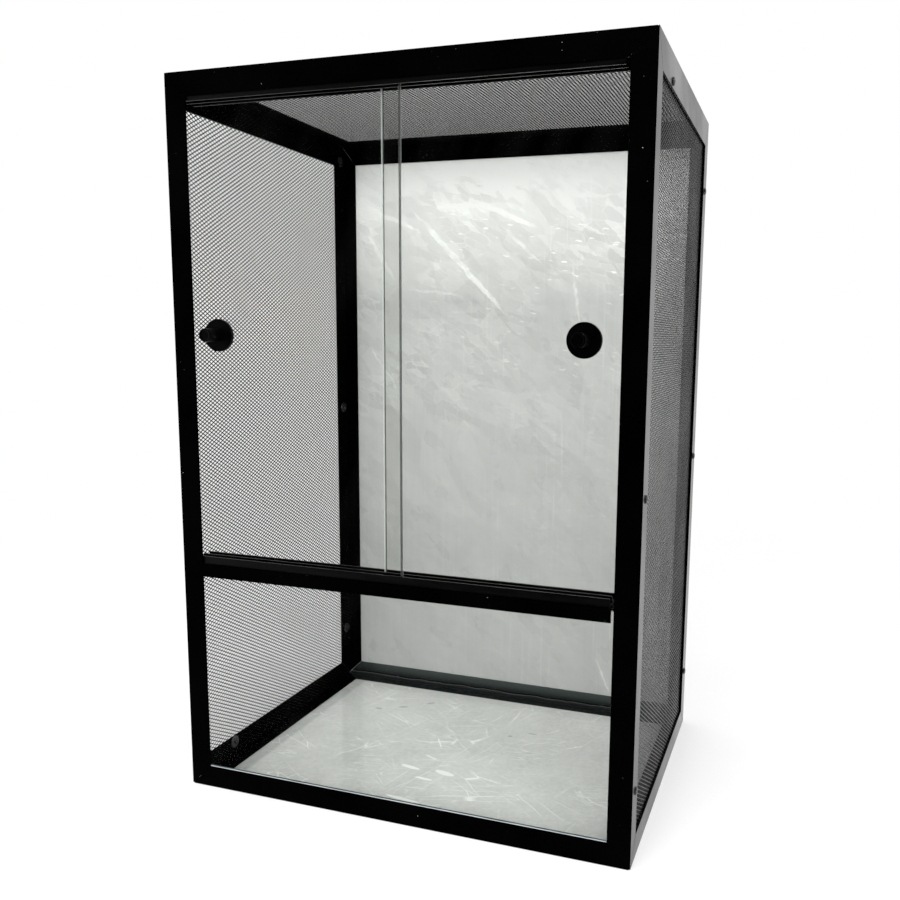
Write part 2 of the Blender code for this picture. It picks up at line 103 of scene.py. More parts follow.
def round_edges(piece, width, segments=2):
    """Rounds every sharp edge, shades the rounding smooth and keeps the flats flat."""
    pick(piece)
    bevel = piece.modifiers.new("rounding", "BEVEL")
    bevel.width = width
    bevel.segments = segments
    bevel.limit_method = "ANGLE"
    bevel.angle_limit = SHARP_EDGE
    bpy.ops.object.modifier_apply(modifier=bevel.name)
    bpy.ops.object.shade_smooth_by_angle(angle=SMOOTH_EDGE)
    if segments > 1:
        flats = piece.modifiers.new("flats", "WEIGHTED_NORMAL")
        flats.keep_sharp = True
        bpy.ops.object.modifier_apply(modifier=flats.name)


def merged_copy(name, node):
    """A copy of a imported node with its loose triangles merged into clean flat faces."""
    piece = bpy.data.objects.new(name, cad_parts[node].data.copy())
    bpy.context.scene.collection.objects.link(piece)
    pick(piece)
    bpy.ops.mesh.customdata_custom_splitnormals_clear()
    bpy.ops.object.mode_set(mode="EDIT")
    bpy.ops.mesh.select_all(action="SELECT")
    bpy.ops.mesh.remove_doubles(threshold=SAME_POINT)
    bpy.ops.mesh.dissolve_limited(angle_limit=FLAT_ENOUGH)
    bpy.ops.mesh.normals_make_consistent(inside=False)
    bpy.ops.object.mode_set(mode="OBJECT")
    return piece


def fit_out(piece, finish, slot, body, *nodes):
    """Gives the piece its finish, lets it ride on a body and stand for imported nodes."""
    piece.data.materials.clear()
    piece.data.materials.append(finish)
    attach(piece, body)
    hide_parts(*nodes)
    return piece


print("helpers ready")

# %% [markdown]
# ## Tools for finishes
# A finish is a small graph of nodes. The helpers add a node with its options, values and links
# in one call, which keeps a graph readable from top to bottom. All patterns are placed with
# Object coordinates, so they stay on the piece and have their real size in metres.

# %% Build a finish from nodes
def new_finish(name):
    """An empty finish with its output, its Principled shader and the coordinates of the piece."""
    finish = bpy.data.materials.new(name)
    finish.use_nodes = True
    tree = finish.node_tree
    place = tree.nodes.new("ShaderNodeTexCoord").outputs["Object"]
    return finish, tree, tree.nodes["Principled BSDF"], place


def add_node(tree, kind, options=None, values=None, links=None):
    """A node with its options, its plain values and what feeds its sockets."""
    node = tree.nodes.new(kind)
    for key, value in (options or {}).items():
        setattr(node, key, value)
    for key, value in (values or {}).items():
        node.inputs[key].default_value = value
    for key, source in (links or {}).items():
        tree.links.new(source, node.inputs[key])
    return node


def math_node(tree, operation, *terms):
    """A Math node. Each term is a number or a socket."""
    node = add_node(tree, "ShaderNodeMath", {"operation": operation})
    for slot_number, term in enumerate(terms):
        if isinstance(term, (int, float)):
            node.inputs[slot_number].default_value = term
        else:
            tree.links.new(term, node.inputs[slot_number])
    return node.outputs[0]


print("node helpers ready")

# %% [markdown]
# ## Tools for patterns
# A pattern is a value from 0 to 1 all over the piece. It starts from coordinates, which are
# stretched, turned or made to waver first, because a length of 1 is the size of the pattern.

# %% Patterns on stretched coordinates
def stretched(tree, place, size, turn=(0, 0, 0), centre=(0, 0, 0)):
    """Coordinates in which a length of 1 is this size on the piece, turned about a centre."""
    mapping = add_node(
        tree,
        "ShaderNodeMapping",
        {"vector_type": "TEXTURE"},
        {"Location": centre, "Rotation": turn, "Scale": size},
        {"Vector": place},
    )
    return mapping.outputs[0]


def noise(tree, place, scale, detail=3, roughness=0.5):
    """A Noise of 0 to 1, mostly near a half."""
    node = add_node(
        tree,
        "ShaderNodeTexNoise",
        values={"Scale": scale, "Detail": detail, "Roughness": roughness},
        links={"Vector": place},
    )
    return node.outputs["Fac"]


def wavering(tree, place, scale, detail, roughness, reach):
    """Coordinates that a Noise shifts by up to this reach in metres, so that no line is straight."""
    shift = add_node(
        tree,
        "ShaderNodeTexNoise",
        values={"Scale": scale, "Detail": detail, "Roughness": roughness},
        links={"Vector": place},
    )
    moved = add_node(
        tree,
        "ShaderNodeVectorMath",
        {"operation": "MULTIPLY_ADD"},
        {1: reach},
        {0: shift.outputs["Color"], 2: place},
    )
    return moved.outputs[0]


def height_of(tree, place, axis="Z"):
    """How far along one axis a point of the piece lies."""
    return add_node(tree, "ShaderNodeSeparateXYZ", links={"Vector": place}).outputs[axis]


def soft_spot(tree, place, size, turn, centre):
    """A round or long spot that is 1 in its middle and fades to 0 at its size."""
    near = stretched(tree, place, size, turn, centre)
    spot = add_node(tree, "ShaderNodeTexGradient", {"gradient_type": "SPHERICAL"}, links={"Vector": near})
    return spot.outputs["Fac"]


print("pattern helpers ready")

# %% [markdown]
# ## Tools for layers
# Patterns are cut to a span, added up in layers and turned into colours, roughness or a bump.
# A Mix node numbers its sockets for every kind of data, and 6, 7 and 2 are those of a colour.

# %% Levels, colours and bumps
COLOUR_SLOTS = (6, 7)
MIXED_COLOUR = 2


def span(tree, value, low, high, to_low=0.0, to_high=1.0):
    """Brings a value from one span to another, and holds it there."""
    node = add_node(
        tree,
        "ShaderNodeMapRange",
        values={"From Min": low, "From Max": high, "To Min": to_low, "To Max": to_high},
        links={"Value": value},
    )
    return node.outputs[0]


def centred(tree, pattern):
    """A pattern of 0 to 1 moved to lie around 0, so that it lightens and darkens alike."""
    return math_node(tree, "SUBTRACT", pattern, 0.5)


def layered(tree, level, *patterns):
    """Adds each pattern to the level, by the share that is given with it."""
    for pattern, share in patterns:
        level = math_node(tree, "MULTIPLY_ADD", pattern, share, level)
    return level


def tint(tree, share, *stops):
    """A colour ramp, given as (position, grey or colour) stops."""
    ramp = add_node(tree, "ShaderNodeValToRGB", links={"Fac": share})
    elements = ramp.color_ramp.elements
    while len(elements) < len(stops):
        elements.new(1.0)
    for element, (position, colour) in zip(elements, stops):
        element.position = position
        rgb = (colour,) * 3 if isinstance(colour, (int, float)) else colour
        element.color = (*rgb, 1)
    return ramp.outputs[0]


def mixed_colour(tree, share, first, second):
    """The first colour, covered by the second one by this share. Each is a colour or a socket."""
    mix = add_node(tree, "ShaderNodeMix", {"data_type": "RGBA"}, links={0: share})
    for slot_number, colour in zip(COLOUR_SLOTS, (first, second)):
        if isinstance(colour, tuple):
            mix.inputs[slot_number].default_value = (*colour, 1)
        else:
            tree.links.new(colour, mix.inputs[slot_number])
    return mix.outputs[MIXED_COLOUR]


def mixed_shader(tree, share, first, second):
    """The first shader, covered by the second one by this share."""
    return add_node(tree, "ShaderNodeMixShader", links={0: share, 1: first, 2: second}).outputs[0]


def relief(tree, shader, height, distance, strength=1.0):
    """A bump map from a height of 0 to 1, this deep in metres."""
    bump = add_node(
        tree,
        "ShaderNodeBump",
        values={"Strength": strength, "Distance": distance},
        links={"Height": height},
    )
    tree.links.new(bump.outputs[0], shader.inputs["Normal"])


print("finish helpers ready")

# %% [markdown]
# ## Powder coat
# The bars are steel angle under a black powder coat. The powder melts into a skin with a fine
# orange peel, so the finish has a tiny bump, a roughness that wanders a little, and a few
# specks where the coat was knocked. The bars are black from most sides and pale only at a
# grazing view, so a Layer Weight raises the gloss there: its Facing output goes from 0, straight
# on, to 1, along the surface.

# %% Black powder coat
BARE_STEEL = (0.22, 0.22, 0.21)
FULL_GLOSS_FROM = 0.86
GLOSS_LEVELS = (0.01, 0.5)


def specular_tint(shader, grey, level=0.5):
    """Sets how much the surface mirrors when it is seen straight on."""
    shader.inputs["Specular IOR Level"].default_value = level
    shader.inputs["Specular Tint"].default_value = (grey, grey, grey, 1)


def powder_coat(name, black, grey, roughness, peel_size, peel_depth, mirrored, gloss_from=None):
    """A coat between two greys, which may get its gloss only from a grazing view on."""
    finish, tree, shader, place = new_finish(name)
    peel = noise(tree, place, 1 / peel_size, 2)
    wander = noise(tree, place, 14, 4)
    specks = noise(tree, place, 520, 1)
    knocks = math_node(tree, "MULTIPLY", span(tree, specks, 0.80, 0.83), span(tree, wander, 0.5, 0.6))
    body = tint(tree, wander, (0.3, black), (0.75, grey))
    tree.links.new(mixed_colour(tree, knocks, body, BARE_STEEL), shader.inputs["Base Color"])
    rough = span(tree, wander, 0.3, 0.7, roughness - 0.05, roughness + 0.08)
    tree.links.new(rough, shader.inputs["Roughness"])
    specular_tint(shader, mirrored)
    if gloss_from:
        facing = add_node(tree, "ShaderNodeLayerWeight", values={"Blend": 0.5}).outputs["Facing"]
        gloss = span(tree, facing, gloss_from, FULL_GLOSS_FROM, *GLOSS_LEVELS)
        tree.links.new(gloss, shader.inputs["Specular IOR Level"])
    relief(tree, shader, peel, peel_depth)
    return finish


bar_coat = powder_coat(
    "bar_coat",
    black=0.0001,
    grey=0.0005,
    roughness=0.24,
    peel_size=0.0012,
    peel_depth=0.000008,
    mirrored=0.015,
    gloss_from=0.62,
)
mesh_coat = powder_coat(
    "mesh_coat",
    black=0.0008,
    grey=0.002,
    roughness=0.36,
    peel_size=0.0008,
    peel_depth=0.00003,
    mirrored=0.05,
    gloss_from=0.80,
)
print("coats:", bar_coat.name, mesh_coat.name)

# %% [markdown]
# ## Coat with painted reflection
# The bottom rail at the back has a painted reflection of the pale floor: the tint of its gloss and its base
# colour are slightly green and get brighter higher up its leg. A wavy dark line runs along its leg. The line
# is a band about a height that a Noise moves up and down, with gaps from a second Noise and a thin painted
# highlight along its lower edge.

# %% Coat with painted reflection and a wavy dark line
WAVY_LINE_Z = 0.0048
WAVY_LINE_WAVE = 0.0012
# Half widths at which the line fades
WAVY_LINE_HALF_WIDTH = (0.0004, 0.0008)
# Height of the painted highlight above the line's middle, and its half width
WAVY_LINE_PAINTED_GLINT = (-0.0011, 0.0002)


def rear_coat_painted_reflection():
    """The coat of the bottom rail at the back, with a painted reflection of the floor and a broken wavy dark
    line with a painted highlight along its lower edge.
    """
    finish = powder_coat("rear_coat", 0.004, 0.012, 0.16, peel_size=0.0012, peel_depth=0.00001, mirrored=1)
    tree = finish.node_tree
    shader = tree.nodes["Principled BSDF"]
    place = tree.nodes["Texture Coordinate"].outputs["Object"]
    wave = noise(tree, stretched(tree, place, (0.022, 1, 1)), 1.0, 4)
    height = height_of(tree, place)
    middle = span(tree, wave, 0.3, 0.7, WAVY_LINE_Z - WAVY_LINE_WAVE, WAVY_LINE_Z + WAVY_LINE_WAVE)
    above = math_node(tree, "SUBTRACT", height, middle)
    clear_of_it = span(tree, math_node(tree, "ABSOLUTE", above), *WAVY_LINE_HALF_WIDTH)
    broken = span(tree, noise(tree, stretched(tree, place, (0.006, 1, 1)), 1.0, 2), 0.58, 0.64)
    shown = math_node(tree, "MAXIMUM", clear_of_it, broken)
    # Painted highlight: a thin band just below the wavy dark line
    painted_glint = math_node(tree, "COMPARE", above, *WAVY_LINE_PAINTED_GLINT)
    # Painted reflection of the floor: a green gloss tint and base colour that get brighter higher up the leg
    low_mirror, high_mirror = (0.45, 0.58, 0.54), (0.75, 0.95, 0.9)
    mirrored = tint(tree, span(tree, height, 0.004, 0.018), (0.0, low_mirror), (1.0, high_mirror))
    low_painted_base, high_painted_base = (0.010, 0.012, 0.012), (0.034, 0.040, 0.039)
    body = tint(tree, span(tree, height, 0.006, 0.018), (0.0, low_painted_base), (1.0, high_painted_base))
    # The dark line and the painted highlight go into both the gloss tint and the base colour
    for colour, lit, socket in ((mirrored, 1.0, "Specular Tint"), (body, 0.12, "Base Color")):
        line = mixed_colour(tree, painted_glint, colour, (lit, lit, lit))
        tree.links.new(mixed_colour(tree, shown, (0, 0, 0), line), shader.inputs[socket])
    return finish


rear_coat = rear_coat_painted_reflection()
print("coat:", rear_coat.name)

# %% [markdown]
# ## Frame of angle bars
# The frame is steel angle, cut to a mitre at every corner. Each packed bar already has the
# right section, length and mitres, so its copy only needs merged faces and edges rounded by
# half a millimetre, as the coat rounds them. That small rounding is what catches the light.

# %% Round the bars
EDGE_ROUNDING = 0.0005
levels = ("bottom", "top")
sides = ("left", "right")
rails = [f"{level}_{which}_rail" for level in levels for which in ("front", "back", "left", "right")]
posts = [f"front_{side}_post" for side in sides]
for node in rails + posts + ["door_sill"]:
    bar = merged_copy(f"{node}_coated", node)
    round_edges(bar, EDGE_ROUNDING)
    fit_out(bar, rear_coat if node == "bottom_back_rail" else bar_coat, "black_coat", "case", node)
print("rounded bars:", len(rails + posts) + 1)

# %% [markdown]
# ## Back posts
# Each back post is one angle bar too, but it is packed as two legs with a hair's gap between
# them. The flange's edge is moved across the gap into the side leg, and a Boolean union welds
# the two into one bar before its edges are rounded.

# %% Weld and round the back posts
WELD = 0.0005
for side, sign in (("left", -1), ("right", 1)):
    leg = merged_copy(f"back_{side}_post_coated", f"back_{side}_post")
    flange = merged_copy(f"back_{side}_flange", f"back_{side}_post_flange")
    edge_x = max(abs(v.co.x) for v in flange.data.vertices)
    for vertex in flange.data.vertices:
        if abs(vertex.co.x) > edge_x - SAME_POINT:
            vertex.co.x += sign * WELD
    weld = leg.modifiers.new("weld", "BOOLEAN")
    weld.operation = "UNION"
    weld.solver = "EXACT"
    weld.object = flange
    pick(leg)
    bpy.ops.object.modifier_apply(modifier=weld.name)
    bpy.data.objects.remove(flange, do_unlink=True)
    round_edges(leg, EDGE_ROUNDING)
    fit_out(leg, bar_coat, "black_coat", "case", f"back_{side}_post", f"back_{side}_post_flange")
print("welded posts: 2")

# %% [markdown]
# ## Mesh panels
# The sides and the top are fine black diamond mesh. Its strands run in two families that lean
# either way. One strand is a cube stretched to a long flat bar and turned to its slope. An
# Array repeats it, bisect cuts trim the family to the panel, and the mirrored family is laid
# over it. A few hundred plain bars stay light, although they make thousands of gaps.

# %% Lay the strands
STRAND_PITCH = 0.0035
STRAND_SLOPE = math.radians(30)
STRAND_WIDTH = 0.00072
STRAND_THICKNESS = 0.00030
LAYER_SHIFT = 0.00003
# For a panel's thin axis, the axis that its strands run along and the one they are stepped in
STRAND_AXES = {0: (1, 2), 2: (0, 1)}


def strand_family(name, low, high, thin, lean):
    """Parallel strands over a panel whose thin axis is given, leaning one way or the other."""
    along, step = STRAND_AXES[thin]
    reach = high[along] - low[along]
    rise = high[step] - low[step]
    count = math.ceil((rise + reach * math.tan(STRAND_SLOPE)) / STRAND_PITCH) + 1
    middle = (low + high) / 2
    middle[thin] += lean * LAYER_SHIFT
    start = middle.copy()
    start[step] -= STRAND_PITCH * (count - 1) / 2
    size = [0, 0, 0]
    size[thin] = STRAND_THICKNESS
    size[along] = reach / math.cos(STRAND_SLOPE) + 2 * STRAND_PITCH
    size[step] = STRAND_WIDTH
    bpy.ops.object.select_all(action="DESELECT")
    bpy.ops.mesh.primitive_cube_add(size=1, location=start, scale=size)
    bpy.ops.transform.rotate(
        value=lean * STRAND_SLOPE, orient_axis="XYZ"[thin], orient_type="GLOBAL", center_override=start
    )
    family = named(name)
    repeat = family.modifiers.new("repeat", "ARRAY")
    repeat.use_relative_offset = False
    repeat.use_constant_offset = True
    repeat.constant_offset_displace = [STRAND_PITCH if i == step else 0 for i in range(3)]
    repeat.count = count
    bpy.ops.object.modifier_apply(modifier=repeat.name)
    bpy.ops.object.mode_set(mode="EDIT")
    for corner, sign in ((low, -1), (high, 1)):
        for axis in (along, step):
            normal = [sign if i == axis else 0 for i in range(3)]
            bpy.ops.mesh.select_all(action="SELECT")
            bpy.ops.mesh.bisect(plane_co=corner, plane_no=normal, use_fill=True, clear_outer=True)
    bpy.ops.object.mode_set(mode="OBJECT")
    return family


def lay_mesh(node, thin):
    """The two families of a panel, joined into one piece that stands for the node."""
    low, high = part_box(node)
    panel = strand_family(f"{node}_strands", low, high, thin, 1)
    other = strand_family(f"{node}_second", low, high, thin, -1)
    pick(panel)
    other.select_set(True)
    bpy.ops.object.join()
    fit_out(panel, mesh_coat, "black_mesh", "case", node)
    print(node, "faces:", len(panel.data.polygons))


lay_mesh("left_mesh", thin=0)
lay_mesh("right_mesh", thin=0)
lay_mesh("top_mesh", thin=2)

# %% [markdown]
# ## Clear glass
# Glass is mostly what is seen through it. A slightly green Transparent shader lets light and shadows pass,
# and a Glossy shader adds the reflection. How much of each shows comes from the view's angle, as the fifth
# power of a Layer Weight. A Fresnel node would turn a pane into a mirror from its inner side, since the
# Transparent shader bends no rays. A trace of dust, in faint wiped bands, keeps the pane from being
# invisible. The cut edges of a pane are ground glass, made in two copies: a dark green one with painted
# shade, and a white one that paints a highlight along some of their corners. An edge shows a little of what
# is behind it, so the edges aren't fully opaque.

# %% Glass and its ground edges
WHITE = (1, 1, 1, 1)
GLASS_TINT = (0.936, 0.942, 0.933, 1)
GRAZING_GLOSS = 0.8
WIPED_DUST = 0.0012
DUST_GRAINS = 0.02


def glass_finish():
    """Clear glass with gloss at a grazing view and a trace of dust."""
    finish, tree, shader, place = new_finish("pane_glass")
    tree.nodes.remove(shader)
    clear = add_node(tree, "ShaderNodeBsdfTransparent", values={"Color": GLASS_TINT})
    gloss = add_node(tree, "ShaderNodeBsdfGlossy", values={"Color": WHITE, "Roughness": 0.02})
    facing = add_node(tree, "ShaderNodeLayerWeight", values={"Blend": 0.5}).outputs["Facing"]
    glossy = math_node(tree, "MULTIPLY", math_node(tree, "POWER", facing, 5.0), GRAZING_GLOSS)
    pane = mixed_shader(tree, glossy, clear.outputs[0], gloss.outputs[0])
    bands = noise(tree, stretched(tree, place, (0.05, 0.05, 0.4), (0, math.radians(24), 0)), 1.6, 5)
    grains = noise(tree, place, 900, 1)
    wiped = span(tree, bands, 0.45, 0.75, 0, WIPED_DUST)
    dust = math_node(tree, "ADD", wiped, span(tree, grains, 0.76, 0.82, 0, DUST_GRAINS))
    haze = add_node(tree, "ShaderNodeBsdfDiffuse", values={"Color": (0.8, 0.82, 0.8, 1)})
    dusty = mixed_shader(tree, dust, pane, haze.outputs[0])
    tree.links.new(dusty, tree.nodes["Material Output"].inputs["Surface"])
    return finish


def edge_finish(name, dark, light, roughness, cover):
    """Ground glass between two colours. Cover is how little of what is behind it shows."""
    finish, tree, shader, place = new_finish(name)
    marks = noise(tree, stretched(tree, place, (0.004, 0.0006, 0.004)), 1, 4)
    tree.links.new(tint(tree, marks, (0.35, dark), (0.7, light)), shader.inputs["Base Color"])
    tree.links.new(span(tree, marks, 0.3, 0.7, roughness, roughness + 0.15), shader.inputs["Roughness"])
    shader.inputs["Alpha"].default_value = cover
    specular_tint(shader, 0.1)
    relief(tree, shader, marks, 0.00003)
    return finish


pane_glass = glass_finish()
# Two copies of one ground glass: dark green with painted shade, and white as a painted highlight
ground_edge_painted_shade = edge_finish("ground_edge_painted_shade", (0.02, 0.023, 0.022), (0.05, 0.055, 0.052), 0.3, 0.84)
edge_painted_highlight = edge_finish("edge_painted_highlight", (0.7, 0.74, 0.72), (0.95, 0.98, 0.96), 0.4, 0.45)
print("glass finishes ready")

# %% [markdown]
# ## Panes
# A pane is a flat plate with its arrises broken by a small chamfer, which comes from a Bevel
# with one segment. Two bisects then split each cut edge near its rear and behind its middle.
# The rear strip of the right side and the front strip of the left side get the white copy with its painted
# highlight, and the rest gets the dark copy with painted shade.

# %% Cut the panes
ARRIS = 0.0006
# How far the painted highlight reaches: from the rear on the right side, and from the front on the left side
HIGHLIGHT_REAR_STRIP = 0.0011
HIGHLIGHT_FRONT_STRIP = 0.0032
CLEAR_SLOT, GROUND_SHADE_SLOT, HIGHLIGHT_SLOT = 0, 1, 2


def cut_pane(name, node, body):
    """A pane of the node's size, clear on its two sides and ground along its edges."""
    low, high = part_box(node)
    pane = block(name, low, high)
    round_edges(pane, ARRIS, segments=1)
    highlight_rear_y = high.y - HIGHLIGHT_REAR_STRIP
    highlight_front_y = low.y + HIGHLIGHT_FRONT_STRIP
    bpy.ops.object.mode_set(mode="EDIT")
    for cut_y in (highlight_front_y, highlight_rear_y):
        bpy.ops.mesh.select_all(action="SELECT")
        bpy.ops.mesh.bisect(plane_co=(0, cut_y, 0), plane_no=(0, 1, 0))
    bpy.ops.object.mode_set(mode="OBJECT")
    fit_out(pane, pane_glass, "clear_glass", body, node)
    pane.data.materials.append(ground_edge_painted_shade)
    pane.data.materials.append(edge_painted_highlight)
    # The right side's rear strip and the left side's front strip get the painted highlight, the other edge
    # faces the painted shade
    for face in pane.data.polygons:
        normal = face.normal
        lit_rear = normal.x > 0.9 and face.center.y > highlight_rear_y
        left_front = normal.x < -0.1 and face.center.y < highlight_front_y
        edge_slot = HIGHLIGHT_SLOT if lit_rear or left_front else GROUND_SHADE_SLOT
        face.material_index = CLEAR_SLOT if abs(normal.y) > 0.99 else edge_slot
        face.use_smooth = False


PANES = {"left_door_glass": "left_door", "right_door_glass": "right_door", "front_lower_glass": "case"}
for node, body in PANES.items():
    cut_pane(f"{node}_pane", node, body)
print("panes:", len(PANES))

# %% [markdown]
# ## Sealant
# The fixed pane stands in a thin line of clear sealant along the bottom rail. A fillet like this is drawn
# with a finger, so its face is rounded and a little uneven. The imported line gets a rounding. Its colour is
# painted light: a painted highlight at its foot, and its upper half painted as dark as the leg behind it.

# %% Sealant line
# Painted light: a highlight at the foot, and the dark leg behind painted in at the top
LIT_FOOT = (0.30, 0.33, 0.33)
MIDDLE = (0.08, 0.10, 0.105)
DARK_TOP = (0.012, 0.014, 0.014)


def sealant_finish():
    """Clear sealant with painted light: a painted highlight at its foot, and at its top painted as dark as
    the leg behind it.
    """
    finish, tree, shader, place = new_finish("clear_sealant")
    ripples = noise(tree, stretched(tree, place, (0.02, 0.002, 0.002)), 1, 3)
    foot, top = (corner.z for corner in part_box("lower_glass_bead"))
    climb = layered(tree, span(tree, height_of(tree, place), foot, top), (centred(tree, ripples), 0.5))
    clear = tint(tree, climb, (0.2, LIT_FOOT), (0.45, MIDDLE), (0.75, DARK_TOP))
    tree.links.new(clear, shader.inputs["Base Color"])
    shader.inputs["Roughness"].default_value = 0.3
    specular_tint(shader, 0.1)
    relief(tree, shader, ripples, 0.0003)
    return finish


bead = merged_copy("sealant_line", "lower_glass_bead")
round_edges(bead, 0.0004, segments=3)
fit_out(bead, sealant_finish(), "sealant", "case", "lower_glass_bead")
print("sealant faces:", len(bead.data.polygons))

# %% [markdown]
# ## Back sheet
# Behind the back posts hangs a pale sheet under a clear film that was pressed on by hand. The film has long
# creases that fall from the upper left to the lower right, shorter fold lines between them, many short bright
# ticks, and faint upright lines. Its colour carries painted light: the sheet is painted lighter along its top
# and towards the right, each facet gets its own painted grey of light and shade, and the creases and fold
# lines get painted highlights. Each long crease is a painted highlight streak with a soft halo: two Gradients
# that are stretched along its line. The facet cells, fold lines and ticks are the cells, borders and middles
# of stretched Voronoi patterns, thinned out by a Noise.

# %% Creased film
# Middle X and Z, fall in degrees, half length and half width in metres, and strength
CREASES = (
    (-0.0604, 0.4828, -45.6, 0.100, 0.0040, 0.70),
    (-0.0558, 0.5412, 0.5, 0.040, 0.0035, 0.60),
    (-0.0053, 0.5304, -21.5, 0.044, 0.0040, 0.80),
    (-0.1450, 0.5326, -25.0, 0.056, 0.0030, 0.65),
    (-0.1539, 0.4906, -57.0, 0.042, 0.0030, 0.40),
    (-0.0913, 0.4505, -6.5, 0.046, 0.0020, 0.30),
    (0.0114, 0.4988, -41.5, 0.038, 0.0030, 0.50),
    (0.0714, 0.5721, -39.9, 0.030, 0.0045, 0.50),
    (0.0713, 0.4488, -80.3, 0.040, 0.0022, 0.45),
    (0.0824, 0.5476, -2.2, 0.026, 0.0028, 0.60),
    (-0.1482, 0.3618, -55.2, 0.040, 0.0024, 0.30),
    (0.1106, 0.0392, -66.0, 0.026, 0.0016, 0.55),
)
WAVER = 0.009
HALO_REACH = 4.0
FILM_GREYS = ((0.0, (0.31, 0.312, 0.31)), (0.5, (0.62, 0.624, 0.615)), (1.0, (0.965, 0.97, 0.96)))


def crisp_cells(tree, place, size, fall):
    """Voronoi cells that fall to the right: each one's own grey, its borders and its middle."""
    tilted = stretched(tree, place, size, (0, math.radians(fall), 0))
    flat = add_node(tree, "ShaderNodeTexVoronoi", values={"Scale": 1.0}, links={"Vector": tilted})
    rim = add_node(
        tree, "ShaderNodeTexVoronoi", {"feature": "DISTANCE_TO_EDGE"}, {"Scale": 1.0}, {"Vector": tilted}
    )
    grey = add_node(tree, "ShaderNodeSeparateColor", links={"Color": flat.outputs["Color"]})
    return grey.outputs[0], rim.outputs["Distance"], flat.outputs["Distance"]


def long_creases(tree, place, bent):
    """Painted highlights: the sum of the creases' bright middles, broken here and there, and the sum of the
    soft light around them.
    """
    back_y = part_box("back_panel")[0].y
    cores_and_highlights = 0.0
    painted_halos = 0.0
    for x, z, fall, length, width, strength in CREASES:
        turn = (0, -math.radians(fall), 0)
        # The waver shifts points by half of its reach on average, so the middle goes along
        centre = (x + WAVER / 2, back_y, z + WAVER / 2)
        core = soft_spot(tree, bent, (length, 1, width), turn, centre)
        cores_and_highlights = layered(tree, cores_and_highlights, (span(tree, core, 0.15, 0.4), strength))
        halo = soft_spot(tree, bent, (length, 1, width * HALO_REACH), turn, centre)
        painted_halos = layered(tree, painted_halos, (halo, strength))
    breaks = span(tree, noise(tree, place, 110, 3), 0.36, 0.58, 0.35, 1.0)
    return math_node(tree, "MULTIPLY", cores_and_highlights, breaks), painted_halos


